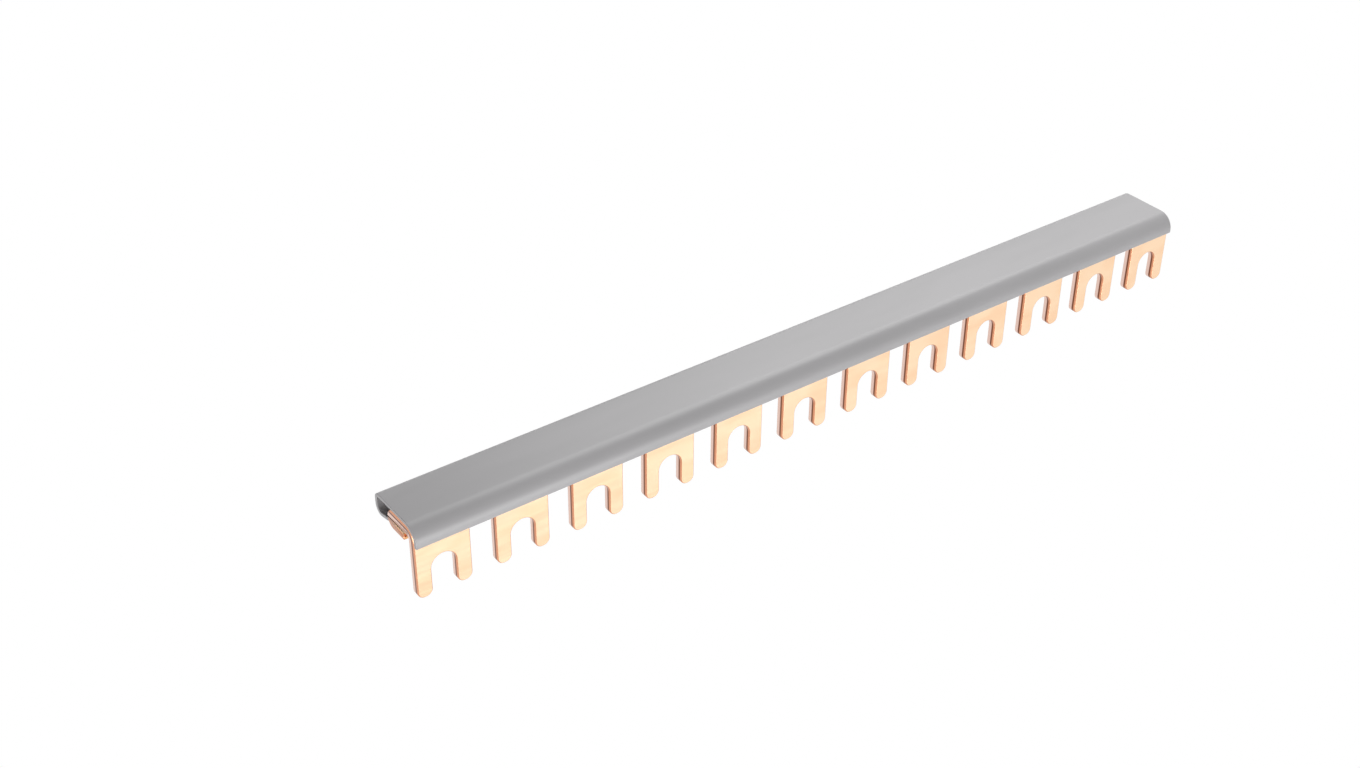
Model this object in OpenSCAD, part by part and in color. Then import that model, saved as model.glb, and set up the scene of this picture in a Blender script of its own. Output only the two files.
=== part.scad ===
// Single-pole comb busbar: a copper comb of screw-terminal forks, folded from one strip,
// held in a thin extruded insulating cover.
// +X runs along the bar, +Y points away from the fork contact face, +Z points to the cover.
// The origin is on the contact face, at the centre of the first fork's round slot end.

/* [Comb] */
// Number of forks
ways = 12; // [2:1:24]
// Distance between the middles of neighbouring forks
pitch = 17.6; // [16.5:0.1:27]
// Thickness of the copper strip
sheet_t = 2.0; // [1:0.1:2.4]
// Width of one fork
fork_w = 12.0; // [11:0.1:14]
// Width of the screw slot between the two prongs
slot_w = 5.5; // [4.5:0.1:6.5]
// Depth of the slot from the prong tips to its round end
slot_depth = 8.75; // [7:0.05:10]
// Height of the comb from the prong tips to the top of the folded web
comb_height = 16.2; // [15.4:0.1:22]
// Corner radius of the prong tips
tip_r = 1.5; // [0.5:0.1:1.6]
// Inside radius of the bend between the forks and the web
bend_r = 0.8; // [0.4:0.1:1.4]
// Distance from the contact face to the outside of the hem's fold
web_depth = 10.0; // [9:0.1:14]
// Width of the strip folded back under the web
hem_w = 6.2; // [4:0.1:6.6]
// Gap left between the two layers of the hem
hem_gap = 0.2; // [0.1:0.05:0.4]
// Distance from the bend's edge down to the top of the notch between forks
notch_drop = 0.2; // [0:0.1:0.6]
// Corner radius at the top of the notch between forks
notch_r = 1.0; // [0.4:0.1:1.4]

/* [Cover] */
// Wall thickness of the cover
cover_t = 0.8; // [0.6:0.05:1.2]
// Clearance between the cover and the copper
fit_gap = 0.1; // [0.05:0.05:0.3]
// Depth of the cover from its front lip to its rear wall, outside
cover_depth = 15.5; // [14.5:0.1:19]
// Height of the cover's front, from its top face to the edge of the lip
lip_height = 4.4; // [4:0.1:5.6]
// Outside radius of the corner between the top plate and the rear wall
corner_r = 1.5; // [1.3:0.1:2]
// Outside radius of the curl at the foot of the rear wall
curl_r = 2.0; // [1.4:0.1:2.4]
// Angle at which the hook rises from the curl towards the fold
hook_angle = 12; // [0:1:20]
// Distance from the middle of the hem down to the edge of the hook
hook_drop = 0.5; // [0.3:0.1:1]

/* [Hidden] */
$fn = 48;

// Overlap that makes sure that cuts run clean through
over = 1;

// Comb, along the bar
bar_length = (ways - 1) * pitch + fork_w;
bar_start = -fork_w / 2;
slot_r = slot_w / 2;
prong_w = (fork_w - slot_w) / 2;
notch_w = pitch - fork_w;

// Comb, up from the slot's round end
tip_z = slot_r - slot_depth;
web_z = tip_z + comb_height;
bend_out = bend_r + sheet_t;
bend_z = web_z - bend_out;
notch_z = bend_z - notch_drop;

// Hem: a half-round fold, its middle, and the layer under the web
hem_out = sheet_t + hem_gap / 2;
hem_z = web_z - hem_out;
hem_y = web_depth - hem_out;

// Cover, in the same section
cover_y = -fit_gap - cover_t;
cover_rear = cover_y + cover_depth;
cover_top = web_z + fit_gap + cover_t;
shoulder_in = bend_out + fit_gap;
curl_in = curl_r - cover_t;
curl_y = cover_rear - curl_r;
hook_z = hem_z - hook_drop;
hook_len = (curl_y - curl_in * sin(hook_angle) - web_depth) / cos(hook_angle);
curl_z = hook_z + curl_in * cos(hook_angle) - hook_len * sin(hook_angle);

// Piece of a ring of the given inside radius and wall, from angle a0 to a1, at most 180 degrees
module ring_piece(inside, wall, a0, a1) {
    reach = 2 * (inside + wall);
    middle = (a0 + a1) / 2;
    intersection() {
        difference() {
            circle(r = inside + wall);
            if (inside > 0) circle(r = inside);
        }
        polygon([
            [0, 0],
            reach * [cos(a0), sin(a0)],
            reach * [cos((a0 + middle) / 2), sin((a0 + middle) / 2)],
            reach * [cos(middle), sin(middle)],
            reach * [cos((a1 + middle) / 2), sin((a1 + middle) / 2)],
            reach * [cos(a1), sin(a1)]
        ]);
    }
}

// Section of the folded strip: fork, bend, web, fold and hem
module comb_section() {
    translate([0, tip_z]) square([sheet_t, bend_z - tip_z]);
    translate([bend_out, bend_z]) ring_piece(bend_r, sheet_t, 90, 180);
    translate([bend_out, web_z - sheet_t]) square([hem_y - bend_out, sheet_t]);
    translate([hem_y, hem_z]) ring_piece(hem_gap / 2, sheet_t, -90, 90);
    translate([web_depth - hem_w, hem_z - hem_out]) square([hem_y - web_depth + hem_w, sheet_t]);
}

// One prong seen from the front, from its rounded tip up to the bend
module prong() {
    translate([0, tip_z + tip_r]) square([prong_w, web_z - tip_z - tip_r]);
    translate([tip_r, tip_z]) square([prong_w - 2 * tip_r, tip_r + over]);
    translate([tip_r, tip_z + tip_r]) circle(r = tip_r);
    translate([prong_w - tip_r, tip_z + tip_r]) circle(r = tip_r);
}

// One fork seen from the front: two prongs joined above a slot with a round end
module fork() {
    translate([-fork_w / 2, 0]) prong();
    translate([fork_w / 2 - prong_w, 0]) prong();
    difference() {
        translate([-slot_r, 0]) square([slot_w, web_z]);
        circle(r = slot_r);
    }
}

// Opening between two forks seen from the front, with rounded upper corners
module notch() {
    translate([0, tip_z - over]) square([notch_w, notch_z - notch_r - tip_z + over]);
    translate([notch_r, notch_z - notch_r - over]) square([notch_w - 2 * notch_r, notch_r + over]);
    translate([notch_r, notch_z - notch_r]) circle(r = notch_r);
    translate([notch_w - notch_r, notch_z - notch_r]) circle(r = notch_r);
}

// Whole strip seen from the front, as it is stamped
module comb_outline() {
    difference() {
        translate([bar_start, notch_z - notch_r]) square([bar_length, web_z - notch_z + notch_r + over]);
        for (i = [0 : ways - 2]) translate([i * pitch + fork_w / 2, 0]) notch();
    }
    for (i = [0 : ways - 1]) translate([i * pitch, 0]) fork();
}

// Section of the cover: lip, shoulder, top plate, rear wall, curl and hook
module cover_section() {
    translate([cover_y, cover_top - lip_height]) square([cover_t, lip_height - cover_top + bend_z]);
    translate([bend_out, bend_z]) ring_piece(shoulder_in, cover_t, 90, 180);
    translate([bend_out, cover_top - cover_t]) square([cover_rear - corner_r - bend_out, cover_t]);
    translate([cover_rear - corner_r, cover_top - corner_r]) ring_piece(corner_r - cover_t, cover_t, 0, 90);
    translate([cover_rear - cover_t, curl_z]) square([cover_t, cover_top - corner_r - curl_z]);
    translate([curl_y, curl_z]) {
        ring_piece(curl_in, cover_t, -90 - hook_angle, 0);
        rotate(-hook_angle) translate([-hook_len, -curl_r]) square([hook_len, cover_t]);
    }
}

// Carries a section along the bar
module along_bar() {
    translate([bar_start, 0, 0]) rotate([90, 0, 90]) linear_extrude(height = bar_length) children();
}

// Copper comb: one stamped strip, hemmed along its back edge and bent down at the forks
module fork_comb() {
    color([0.93, 0.67, 0.48])
    intersection() {
        along_bar() comb_section();
        translate([0, web_depth + over, 0]) rotate([90, 0, 0])
            linear_extrude(height = web_depth + 2 * over) comb_outline();
    }
}

// Insulating cover: one extruded profile that clips over the web
module insulating_cover() {
    color([0.65, 0.65, 0.66])
    along_bar() cover_section();
}

fork_comb();
insulating_cover();
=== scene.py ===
"""Dressed model of a single-pole comb busbar: a folded copper comb in a grey extruded cover."""

import logging
import math
from dataclasses import dataclass, field
from enum import Enum
from typing import Optional

import bmesh
import bpy
import numpy as np
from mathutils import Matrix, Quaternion, Vector

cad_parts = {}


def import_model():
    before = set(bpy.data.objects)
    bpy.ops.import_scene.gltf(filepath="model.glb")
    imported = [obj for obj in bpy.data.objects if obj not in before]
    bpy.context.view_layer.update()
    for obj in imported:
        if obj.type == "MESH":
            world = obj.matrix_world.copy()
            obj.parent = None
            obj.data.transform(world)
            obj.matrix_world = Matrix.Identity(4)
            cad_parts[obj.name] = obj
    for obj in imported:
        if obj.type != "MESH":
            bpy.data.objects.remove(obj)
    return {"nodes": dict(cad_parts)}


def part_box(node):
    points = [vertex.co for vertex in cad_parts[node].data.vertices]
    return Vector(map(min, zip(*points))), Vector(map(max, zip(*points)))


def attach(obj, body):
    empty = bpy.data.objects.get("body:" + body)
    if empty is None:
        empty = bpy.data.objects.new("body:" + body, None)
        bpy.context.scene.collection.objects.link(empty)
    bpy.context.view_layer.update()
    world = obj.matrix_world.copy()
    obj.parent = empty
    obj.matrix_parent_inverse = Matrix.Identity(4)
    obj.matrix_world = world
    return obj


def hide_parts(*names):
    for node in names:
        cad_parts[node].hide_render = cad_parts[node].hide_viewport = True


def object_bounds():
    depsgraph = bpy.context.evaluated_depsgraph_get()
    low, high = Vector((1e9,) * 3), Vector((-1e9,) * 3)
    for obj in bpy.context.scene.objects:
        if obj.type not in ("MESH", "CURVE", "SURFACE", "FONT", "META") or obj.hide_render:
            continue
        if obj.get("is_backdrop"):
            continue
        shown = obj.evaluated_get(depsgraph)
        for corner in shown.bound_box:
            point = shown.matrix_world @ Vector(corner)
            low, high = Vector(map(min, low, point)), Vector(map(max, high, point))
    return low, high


LOG = logging.getLogger("comb_busbar")
MM = 0.001
CAD_COMB = "fork_comb"
CAD_COVER = "insulating_cover"
BODY = "root"
PathPair = tuple[np.ndarray, np.ndarray]


class Slot(Enum):
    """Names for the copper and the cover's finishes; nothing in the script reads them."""

    COPPER = "copper"
    COVER = "cover"


class Blend(Enum):
    """How two numbers are joined in a shader's Math node."""

    ADD = "ADD"
    SUBTRACT = "SUBTRACT"
    MULTIPLY = "MULTIPLY"
    MAXIMUM = "MAXIMUM"
    LESS_THAN = "LESS_THAN"
    ABSOLUTE = "ABSOLUTE"
    SQRT = "SQRT"


@dataclass(frozen=True)
class StripSizes:
    """Sizes of the folded copper strip, in metres, in the part's own frame."""

    thickness: float = 2.0 * MM
    bend_inside: float = 0.8 * MM
    web_top: float = 10.2 * MM
    notch_top: float = 7.2 * MM
    hem_gap: float = 0.2 * MM

    @property
    def bend_outside(self) -> float:
        """Outside radius of the bend between the forks and the web."""
        return self.bend_inside + self.thickness

    @property
    def bend_height(self) -> float:
        """Height of the bend's axis."""
        return self.web_top - self.bend_outside


@dataclass(frozen=True)
class CoverSizes:
    """Sizes of the cover's constant section, in metres."""

    wall: float = 0.8 * MM
    clearance: float = 0.1 * MM
    lip_height: float = 4.4 * MM
    depth: float = 15.5 * MM
    corner: float = 1.5 * MM
    curl: float = 2.0 * MM
    hook_angle: float = 12.0
    hook_drop: float = 0.5 * MM
    web_depth: float = 10.0 * MM
    edge: float = 0.12 * MM


class NodeGraph:
    """A node tree being built, with short calls for the nodes that the finishes share."""

    def __init__(self, material: bpy.types.Material) -> None:
        """Empties the material's tree and gives it an output.

        Args:
            material: the material whose nodes are built.
        """
        material.use_nodes = True
        self.tree = material.node_tree
        self.tree.nodes.clear()
        self.output = self.tree.nodes.new("ShaderNodeOutputMaterial")

    def add(self, kind: str) -> bpy.types.Node:
        """Adds one node.

        Args:
            kind: Blender's name of the node's type.

        Returns:
            The new node.
        """
        return self.tree.nodes.new(kind)

    def link(self, source: bpy.types.NodeSocket, target: bpy.types.NodeSocket) -> None:
        """Joins an output to an input.

        Args:
            source: the output socket.
            target: the input socket.
        """
        self.tree.links.new(source, target)

    def math(
        self,
        blend: Blend,
        first: "bpy.types.NodeSocket | float",
        second: "bpy.types.NodeSocket | float" = 0.0,
    ) -> bpy.types.NodeSocket:
        """Adds a Math node.

        Args:
            blend: the operation.
            first: a socket or a number.
            second: a socket or a number.

        Returns:
            The result's socket.
        """
        node = self.add("ShaderNodeMath")
        node.operation = blend.value
        for index, value in enumerate((first, second)):
            if isinstance(value, (int, float)):
                node.inputs[index].default_value = value
            else:
                self.link(value, node.inputs[index])
        return node.outputs[0]

    def smooth(
        self, value: bpy.types.NodeSocket, low: float, high: float, top: float = 1.0
    ) -> bpy.types.NodeSocket:
        """Adds a smooth step from 0 at low to top at high.

        Args:
            value: the socket that is read.
            low: where the step starts.
            high: where the step ends.
            top: the step's height.

        Returns:
            The step's socket.
        """
        node = self.add("ShaderNodeMapRange")
        node.interpolation_type = "SMOOTHSTEP"
        node.inputs["From Min"].default_value = low
        node.inputs["From Max"].default_value = high
        node.inputs["To Max"].default_value = top
        self.link(value, node.inputs["Value"])
        return node.outputs["Result"]

    def mix(
        self,
        factor: bpy.types.NodeSocket,
        first: "bpy.types.NodeSocket | tuple[float, ...]",
        second: "bpy.types.NodeSocket | tuple[float, ...]",
    ) -> bpy.types.NodeSocket:
        """Mixes two colours.

        Args:
            factor: 0 shows the first and 1 the second.
            first: a socket or a linear colour.
            second: a socket or a linear colour.

        Returns:
            The mixed colour's socket.
        """
        node = self.add("ShaderNodeMix")
        node.data_type = "RGBA"
        self.link(factor, node.inputs[0])
        for index, value in ((6, first), (7, second)):
            if isinstance(value, tuple):
                node.inputs[index].default_value = (*value, 1.0)
            else:
                self.link(value, node.inputs[index])
        return node.outputs[2]

    def streaks(self, along: float, across: float, detail: float) -> bpy.types.NodeSocket:
        """Adds noise drawn out along the bar, as rolling and extrusion leave it.

        Args:
            along: cycles per metre along the bar.
            across: cycles per metre across it.
            detail: octaves of the noise.

        Returns:
            The noise's value socket.
        """
        place = self.add("ShaderNodeTexCoord")
        stretch = self.add("ShaderNodeMapping")
        stretch.inputs["Scale"].default_value = (along, across, across)
        noise = self.add("ShaderNodeTexNoise")
        noise.inputs["Scale"].default_value = 1.0
        noise.inputs["Detail"].default_value = detail
        self.link(place.outputs["Object"], stretch.inputs["Vector"])
        self.link(stretch.outputs["Vector"], noise.inputs["Vector"])
        return noise.outputs["Fac"]

    def bump(self, height: bpy.types.NodeSocket, distance: float) -> bpy.types.NodeSocket:
        """Adds a bump.

        Args:
            height: the height's socket.
            distance: the bump's full height in metres.

        Returns:
            The normal's socket.
        """
        node = self.add("ShaderNodeBump")
        node.inputs["Distance"].default_value = distance
        self.link(height, node.inputs["Height"])
        return node.outputs["Normal"]


@dataclass(frozen=True)
class CopperFinish:
    """Bare copper from the rolling mill whose sheared edges show a burnished band and a dark torn
    band, with painted shade, a darker orange, on its rounded rollover edges and along the front of
    its sheared edges.
    """

    strip: StripSizes
    face: tuple[float, float, float] = (0.99, 0.72, 0.49)
    face_deep: tuple[float, float, float] = (0.97, 0.66, 0.43)
    torn: tuple[float, float, float] = (0.21, 0.07, 0.035)
    burnished: tuple[float, float, float] = (0.78, 0.56, 0.48)
    # Painted shade: a darker orange that stands in for the shading of the rounded rollover edges.
    painted_edge_shade: tuple[float, float, float] = (0.70, 0.32, 0.18)
    hem_edge: tuple[float, float, float] = (0.56, 0.28, 0.18)
    roughness: float = 0.24
    roughness_spread: float = 0.06
    # Share of a sheared edge's depth, from the outer face, that takes the painted rollover shade.
    painted_shade_share: float = 0.235
    torn_share: float = 0.48
    # Normal leans over which the painted rollover shade fades in on rounded faces.
    painted_shade_lean: tuple[float, float] = (0.05, 0.55)
    sheared_lean: tuple[float, float] = (0.80, 0.97)

    def depth(self, graph: NodeGraph, axes: bpy.types.Node) -> bpy.types.NodeSocket:
        """Depth below the strip's outer face.

        It is the bend's outside radius less the distance from its axis, where the distance counts
        only what lies in front of the axis and above it.

        Args:
            graph: the tree being built.
            axes: the node that splits the object coordinates.

        Returns:
            The depth in metres.
        """
        radius = self.strip.bend_outside
        reach = graph.math(Blend.SUBTRACT, radius, axes.outputs["Y"])
        ahead = graph.math(Blend.MAXIMUM, reach, 0.0)
        rise = graph.math(Blend.SUBTRACT, axes.outputs["Z"], self.strip.bend_height)
        above = graph.math(Blend.MAXIMUM, rise, 0.0)
        squares = graph.math(
            Blend.ADD,
            graph.math(Blend.MULTIPLY, ahead, ahead),
            graph.math(Blend.MULTIPLY, above, above),
        )
        return graph.math(Blend.SUBTRACT, radius, graph.math(Blend.SQRT, squares))

    def facing(self, graph: NodeGraph) -> tuple[bpy.types.NodeSocket, bpy.types.NodeSocket]:
        """Sizes of the normal's parts along the bar, and towards the front or back.

        Args:
            graph: the tree being built.

        Returns:
            The sizes of its X part and of its Y part.
        """
        normal = graph.add("ShaderNodeNewGeometry")
        parts = graph.add("ShaderNodeSeparateXYZ")
        graph.link(normal.outputs["Normal"], parts.inputs[0])
        return (
            graph.math(Blend.ABSOLUTE, parts.outputs["X"]),
            graph.math(Blend.ABSOLUTE, parts.outputs["Y"]),
        )

    def edge_mask(
        self, graph: NodeGraph, axes: bpy.types.Node, low: float, high: float
    ) -> bpy.types.NodeSocket:
        """1 on sheared edges.

        These are the faces across the bar, and below the notches all that don't face front or back.
        With small leans the mask also takes the rounded rollover faces, which then get painted
        shade.

        Args:
            graph: the tree being built.
            axes: the node that splits the object coordinates.
            low: sine of the normal's lean from the strip's flat face where the mask starts.
            high: sine of the lean where it is 1.

        Returns:
            The mask's socket.
        """
        along, flat = self.facing(graph)
        across = graph.smooth(along, low, high)
        under = graph.math(Blend.LESS_THAN, axes.outputs["Z"], self.strip.notch_top + 0.2 * MM)
        cos_low, cos_high = math.sqrt(1 - low * low), math.sqrt(1 - high * high)
        turned = graph.math(Blend.SUBTRACT, 1.0, graph.smooth(flat, cos_high, cos_low))
        return graph.math(Blend.MAXIMUM, across, graph.math(Blend.MULTIPLY, turned, under))

    def build(self) -> bpy.types.Material:
        """Builds the material.

        Returns:
            The copper material.
        """
        material = bpy.data.materials.new("bare_copper")
        graph = NodeGraph(material)
        shader = graph.add("ShaderNodeBsdfPrincipled")
        shader.inputs["Metallic"].default_value = 1.0
        place = graph.add("ShaderNodeTexCoord")
        axes = graph.add("ShaderNodeSeparateXYZ")
        graph.link(place.outputs["Object"], axes.inputs[0])
        grain = graph.streaks(60.0, 900.0, 4.0)
        cloud = graph.streaks(90.0, 160.0, 2.0)
        face = graph.mix(graph.smooth(cloud, 0.38, 0.66), self.face, self.face_deep)
        depth = self.depth(graph, axes)
        sheet = self.strip.thickness
        # The sheared-edge bands start with the painted rollover shade next to the outer face.
        band: "bpy.types.NodeSocket | tuple[float, ...]" = self.painted_edge_shade
        for share, blur, tone in (
            (self.painted_shade_share, 0.035, self.torn),
            (self.torn_share, 0.06, self.burnished),
            (1.01, 0.03, self.hem_edge),
        ):
            step = graph.smooth(depth, (share - blur) * sheet, (share + blur) * sheet)
            band = graph.mix(step, band, tone)
        # Painted shade: faces leaning off the flat face, found by their normals, are darkened to
        # the rollover colour.
        colour = graph.mix(self.edge_mask(graph, axes, *self.painted_shade_lean), face, self.painted_edge_shade)
        colour = graph.mix(self.edge_mask(graph, axes, *self.sheared_lean), colour, band)
        graph.link(colour, shader.inputs["Base Color"])
        spread = self.roughness_spread
        rough = graph.math(
            Blend.ADD, graph.smooth(grain, 0.3, 0.7, spread), self.roughness - spread / 2
        )
        graph.link(rough, shader.inputs["Roughness"])
        graph.link(graph.bump(grain, 0.0012 * MM), shader.inputs["Normal"])
        graph.link(shader.outputs[0], graph.output.inputs["Surface"])
        return material


@dataclass(frozen=True)
class CoverFinish:
    """Semi-matt grey PVC with the faint lines that an extrusion die leaves."""

    base: tuple[float, float, float] = (0.385, 0.378, 0.385)
    light: tuple[float, float, float] = (0.41, 0.402, 0.41)
    roughness: float = 0.42

    def build(self) -> bpy.types.Material:
        """Builds the material.

        Returns:
            The grey plastic material.
        """
        material = bpy.data.materials.new("grey_pvc")
        graph = NodeGraph(material)
        shader = graph.add("ShaderNodeBsdfPrincipled")
        shader.inputs["Roughness"].default_value = self.roughness
        shader.inputs["Specular IOR Level"].default_value = 0.4
        lines = graph.streaks(6.0, 1400.0, 3.0)
        cloud = graph.streaks(25.0, 120.0, 2.0)
        colour = graph.mix(graph.smooth(cloud, 0.3, 0.7), self.base, self.light)
        graph.link(colour, shader.inputs["Base Color"])
        graph.link(graph.bump(lines, 0.006 * MM), shader.inputs["Normal"])
        graph.link(shader.outputs[0], graph.output.inputs["Surface"])
        return material


@dataclass
class ForkComb:
    """The copper comb: one stamped strip, hemmed at the back and bent down at the forks."""

    node: bpy.types.Object
    finish: bpy.types.Material
    strip: StripSizes
    rollover: float = 0.26 * MM
    segments: int = 3
    merge: float = 0.002 * MM
    flat_angle: float = 0.6
    sharp_angle: float = 40.0

    def is_rolled(self, edge: bmesh.types.BMEdge) -> bool:
        """Whether the stamping rounds an edge.

        Args:
            edge: an edge of the merged solid.

        Returns:
            True for a sharp edge that isn't in the narrow gap of the hem.
        """
        seam = self.strip.web_top - self.strip.thickness - self.strip.hem_gap / 2
        middle = (edge.verts[0].co + edge.verts[1].co) / 2
        at_seam = abs(middle.z - seam) < 0.75 * self.strip.hem_gap
        in_gap = at_seam and middle.y > self.strip.thickness
        return edge.calc_face_angle(0.0) > math.radians(self.sharp_angle) and not in_gap

    def make_mesh(self) -> bpy.types.Mesh:
        """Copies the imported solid, merges its loose triangles and joins those in one plane.

        Returns:
            The merged mesh.
        """
        mesh = self.node.data.copy()
        mesh.name = "stamped_comb"
        work = bmesh.new()
        work.from_mesh(mesh)
        bmesh.ops.remove_doubles(work, verts=work.verts, dist=self.merge)
        bmesh.ops.dissolve_limit(
            work, angle_limit=math.radians(self.flat_angle), verts=work.verts, edges=work.edges
        )
        bmesh.ops.recalc_face_normals(work, faces=work.faces)
        weight = work.edges.layers.float.new("bevel_weight_edge")
        for edge in work.edges:
            edge[weight] = float(self.is_rolled(edge))
        for face in work.faces:
            face.smooth = True
        work.to_mesh(mesh)
        work.free()
        return mesh

    def build(self) -> bpy.types.Object:
        """Makes the comb with the rounded edges that the stamping leaves.

        Returns:
            The comb's object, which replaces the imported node.
        """
        comb = bpy.data.objects.new("stamped_comb", self.make_mesh())
        bpy.context.scene.collection.objects.link(comb)
        comb.data.materials.clear()
        comb.data.materials.append(self.finish)
        bevel = comb.modifiers.new("rollover", "BEVEL")
        bevel.width = self.rollover
        bevel.segments = self.segments
        bevel.limit_method = "WEIGHT"
        bevel.use_clamp_overlap = False
        comb.modifiers.new("even_faces", "WEIGHTED_NORMAL")
        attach(comb, BODY)
        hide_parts(CAD_COMB)
        return comb


@dataclass
class InsulatingCover:
    """The cover: one wall carried round the section and drawn out along the bar."""

    start: float
    end: float
    strip: StripSizes
    finish: bpy.types.Material
    sizes: CoverSizes = field(default_factory=CoverSizes)
    arc_steps: int = 20
    stations: int = 49

    def arc(
        self, centre: tuple[float, float], radius: float, first: float, last: float
    ) -> PathPair:
        """Points on a circle: the centre plus the radius times (cosine, sine) of even angles.

        Args:
            centre: the arc's centre in the section.
            radius: its radius.
            first: its first angle in degrees.
            last: its last angle in degrees.

        Returns:
            The points, and the unit normals that point away from the centre.
        """
        turn = np.radians(np.linspace(first, last, self.arc_steps))
        normals = np.stack([np.cos(turn), np.sin(turn)], axis=1)
        return np.array(centre) + radius * normals, normals

    def section_path(self) -> PathPair:
        """Middle line of the wall from the lip's edge to the hook's edge, with its outward normals.

        Lines join arcs in tangents: shoulder, top corner and curl share the wall's half thickness.

        Returns:
            The points and the normals.
        """
        s = self.sizes
        half = s.wall / 2
        bend = (self.strip.bend_outside, self.strip.bend_height)
        top = self.strip.web_top + s.clearance + s.wall
        front = -s.clearance - half
        rear = -s.clearance - s.wall + s.depth
        hook = math.radians(s.hook_angle)
        inside = s.curl - s.wall
        curl_y = rear - s.curl
        hem_z = self.strip.web_top - self.strip.thickness - self.strip.hem_gap / 2
        hook_len = (curl_y - inside * math.sin(hook) - s.web_depth) / math.cos(hook)
        curl_z = hem_z - s.hook_drop + inside * math.cos(hook) - hook_len * math.sin(hook)
        shoulder = self.arc(bend, self.strip.bend_outside + s.clearance + half, 180.0, 90.0)
        corner = self.arc((rear - s.corner, top - s.corner), s.corner - half, 90.0, 0.0)
        curl = self.arc((curl_y, curl_z), s.curl - half, 0.0, -90.0 - s.hook_angle)
        lip = (np.array([[front, top - s.lip_height]]), np.array([[-1.0, 0.0]]))
        along = hook_len * np.array([-math.cos(hook), math.sin(hook)])
        tip = (curl[0][-1:] + along, curl[1][-1:])
        stretches = (lip, shoulder, corner, curl, tip)
        points = np.concatenate([p for p, _ in stretches])
        normals = np.concatenate([n for _, n in stretches])
        return points, normals

    def make_mesh(self) -> bpy.types.Mesh:
        """Surface of two parameters: a place round the closed section, and a station along the bar.

        The section is the middle line plus and minus half the wall along its normals. Each end is
        closed by quads between the two.

        Returns:
            The closed mesh.
        """
        points, normals = self.section_path()
        half = self.sizes.wall / 2
        loop = np.concatenate([points + half * normals, (points - half * normals)[::-1]])
        around = len(loop)
        along = np.linspace(self.start, self.end, self.stations)
        grid = np.empty((self.stations, around, 3))
        grid[..., 0] = along[:, None]
        grid[..., 1:] = loop[None]
        i, j = np.meshgrid(np.arange(self.stations - 1), np.arange(around), indexing="ij")
        after = (j + 1) % around
        walls = np.stack(
            [i * around + j, i * around + after, (i + 1) * around + after, (i + 1) * around + j],
            axis=-1,
        ).reshape(-1, 4)
        k = np.arange(len(points) - 1)
        near = np.stack([k, around - 1 - k, around - 2 - k, k + 1], axis=-1)
        far = near[:, ::-1] + (self.stations - 1) * around
        faces = np.concatenate([walls, near, far])
        mesh = bpy.data.meshes.new("extruded_cover")
        mesh.from_pydata(grid.reshape(-1, 3).tolist(), [], faces.tolist())
        mesh.update()
        work = bmesh.new()
        work.from_mesh(mesh)
        bmesh.ops.recalc_face_normals(work, faces=work.faces)
        for face in work.faces:
            face.smooth = True
        work.to_mesh(mesh)
        work.free()
        return mesh

    def build(self) -> bpy.types.Object:
        """Makes the cover with its cut ends and its lip slightly rounded.

        Returns:
            The cover's object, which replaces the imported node.
        """
        cover = bpy.data.objects.new("extruded_cover", self.make_mesh())
        bpy.context.scene.collection.objects.link(cover)
        cover.data.materials.append(self.finish)
        bevel = cover.modifiers.new("soft_edges", "BEVEL")
        bevel.width = self.sizes.edge
        bevel.segments = 2
        bevel.limit_method = "ANGLE"
        bevel.angle_limit = math.radians(50.0)
        bevel.harden_normals = True
        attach(cover, BODY)
        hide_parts(CAD_COVER)
        return cover


def towards(azimuth: float, elevation: float) -> Vector:
    """Unit vector from the bar towards a lamp or the camera.

    Args:
        azimuth: degrees from straight in front, growing towards +X.
        elevation: degrees above the bar.

    Returns:
        The direction.
    """
    turn, rise = math.radians(azimuth), math.radians(elevation)
    level = math.cos(rise)
    return Vector((math.sin(turn) * level, -math.cos(turn) * level, math.sin(rise)))


@dataclass(frozen=True)
class SoftLight:
    """A square lamp round the bar, aimed at its middle."""

    name: str
    azimuth: float
    elevation: float
    distance: float
    size: float
    strength: float

    def build(self, target: Vector) -> bpy.types.Object:
        """Makes the lamp.

        Args:
            target: the point that it faces.

        Returns:
            The lamp's object.
        """
        lamp = bpy.data.lights.new(self.name, "AREA")
        lamp.size = self.size
        lamp.energy = self.strength
        obj = bpy.data.objects.new(self.name, lamp)
        bpy.context.scene.collection.objects.link(obj)
        back = towards(self.azimuth, self.elevation)
        obj.location = target + back * self.distance
        obj.rotation_mode = "QUATERNION"
        obj.rotation_quaternion = (-back).to_track_quat("-Z", "Y")
        return obj


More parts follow.
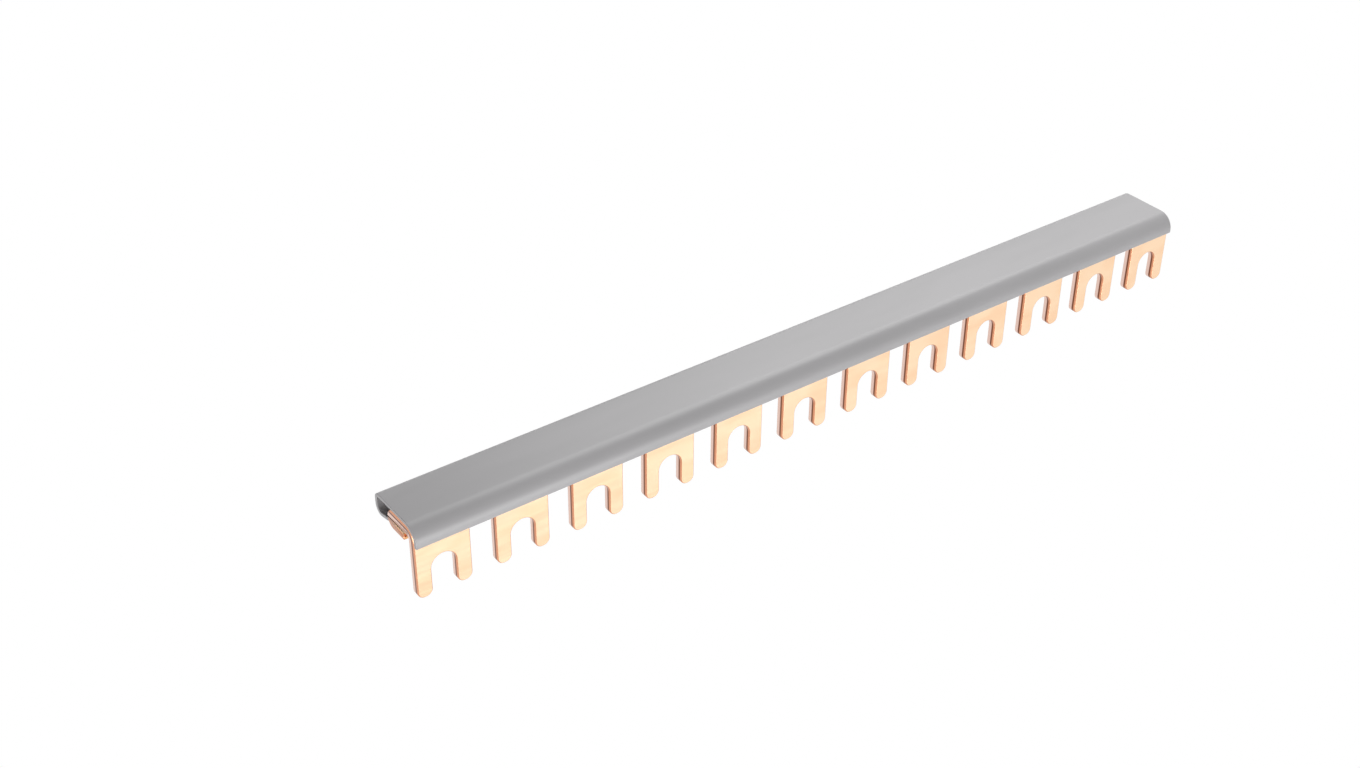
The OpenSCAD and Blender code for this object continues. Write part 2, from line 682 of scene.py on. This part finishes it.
@dataclass
class Studio:
    """Pale floor, plain soft lamps and the camera."""

    middle: Vector
    lowest: float
    drop: float = 300.0 * MM
    eye: Vector = field(default_factory=lambda: Vector((-128.15, -248.31, 227.72)) * MM)
    azimuth: float = -36.42
    elevation: float = 34.02
    roll: float = 0.43
    lens: float = 49.85
    lamps: tuple[SoftLight, ...] = (
        SoftLight("top_softbox", 128.0, 54.0, 0.50, 0.35, 2.4),
        SoftLight("front_softbox", 10.0, -12.0, 0.60, 0.30, 2.45),
        SoftLight("end_softbox", -68.0, -8.0, 0.42, 0.20, 0.8),
    )

    def white_for_views(self, graph: NodeGraph) -> bpy.types.NodeSocket:
        """1 for camera and glossy rays, 0 for the rest.

        Args:
            graph: the tree being built.

        Returns:
            The factor's socket.
        """
        path = graph.add("ShaderNodeLightPath")
        return graph.math(
            Blend.MAXIMUM, path.outputs["Is Camera Ray"], path.outputs["Is Glossy Ray"]
        )

    def floor(self) -> bpy.types.Object:
        """Makes the plain pale floor below the bar.

        Returns:
            The floor's object.
        """
        half = 6.0
        level = self.lowest - self.drop
        corners = half * np.array([[-1, -1], [1, -1], [1, 1], [-1, 1]])
        verts = np.column_stack([corners, np.full(4, level)])
        mesh = bpy.data.meshes.new("floor")
        mesh.from_pydata(verts.tolist(), [], [(0, 1, 2, 3)])
        floor = bpy.data.objects.new("floor", mesh)
        bpy.context.scene.collection.objects.link(floor)
        material = bpy.data.materials.new("pale_floor")
        graph = NodeGraph(material)
        shade = graph.add("ShaderNodeBsdfDiffuse")
        shade.inputs["Color"].default_value = (0.8, 0.8, 0.8, 1.0)
        white = graph.add("ShaderNodeEmission")
        mixed = graph.add("ShaderNodeMixShader")
        graph.link(self.white_for_views(graph), mixed.inputs[0])
        graph.link(shade.outputs[0], mixed.inputs[1])
        graph.link(white.outputs[0], mixed.inputs[2])
        graph.link(mixed.outputs[0], graph.output.inputs["Surface"])
        mesh.materials.append(material)
        floor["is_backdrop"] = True
        return floor

    def world(self) -> None:
        """Sets an even pale surround that shows white and lights the bar softly."""
        world = bpy.data.worlds.new("pale_room")
        bpy.context.scene.world = world
        world.use_nodes = True
        tree = world.node_tree
        tree.nodes.clear()
        output = tree.nodes.new("ShaderNodeOutputWorld")
        path = tree.nodes.new("ShaderNodeLightPath")
        seen = tree.nodes.new("ShaderNodeMath")
        seen.operation = "MAXIMUM"
        mixed = tree.nodes.new("ShaderNodeMixShader")
        plain = tree.nodes.new("ShaderNodeBackground")
        plain.inputs["Strength"].default_value = 0.15
        white = tree.nodes.new("ShaderNodeBackground")
        white.inputs["Color"].default_value = (1.0, 1.0, 1.0, 1.0)
        plain.inputs["Color"].default_value = (1.0, 1.0, 1.0, 1.0)
        tree.links.new(path.outputs["Is Camera Ray"], seen.inputs[0])
        tree.links.new(path.outputs["Is Glossy Ray"], seen.inputs[1])
        tree.links.new(seen.outputs[0], mixed.inputs[0])
        tree.links.new(plain.outputs[0], mixed.inputs[1])
        tree.links.new(white.outputs[0], mixed.inputs[2])
        tree.links.new(mixed.outputs[0], output.inputs["Surface"])

    def camera(self) -> bpy.types.Object:
        """Makes the camera.

        Returns:
            The camera's object.
        """
        data = bpy.data.cameras.new("camera")
        data.lens = self.lens
        data.sensor_width = 36.0
        data.clip_start = 0.01
        data.clip_end = 50.0
        camera = bpy.data.objects.new("camera", data)
        bpy.context.scene.collection.objects.link(camera)
        back = towards(self.azimuth, self.elevation)
        camera.location = self.eye
        camera.rotation_mode = "QUATERNION"
        level = (-back).to_track_quat("-Z", "Y")
        camera.rotation_quaternion = level @ Quaternion((0.0, 0.0, 1.0), math.radians(self.roll))
        bpy.context.scene.camera = camera
        return camera

    def build(self) -> None:
        """Makes the surround, the floor, the lamps and the camera."""
        scene = bpy.context.scene
        scene.view_settings.view_transform = "Standard"
        self.world()
        self.floor()
        for lamp in self.lamps:
            lamp.build(self.middle)
        self.camera()


def log_piece(piece: bpy.types.Object, note: Optional[str] = None) -> None:
    """Reports one finished piece.

    Args:
        piece: the piece's object.
        note: what to say about it.
    """
    LOG.info("%s: %d faces%s", piece.name, len(piece.data.polygons), f", {note}" if note else "")


def main() -> None:
    """Builds the dressed busbar and its studio."""
    logging.basicConfig(level=logging.INFO, format="%(message)s")
    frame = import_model()
    cad_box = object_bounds()
    strip = StripSizes()
    low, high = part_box(CAD_COVER)
    copper = CopperFinish(strip).build()
    plastic = CoverFinish().build()
    log_piece(ForkComb(frame["nodes"][CAD_COMB], copper, strip).build(), "stamped copper")
    log_piece(InsulatingCover(low.x, high.x, strip, plastic).build(), "extruded cover")
    middle = (cad_box[0] + cad_box[1]) / 2
    Studio(middle, cad_box[0].z).build()


if __name__ == "__main__":
    main()
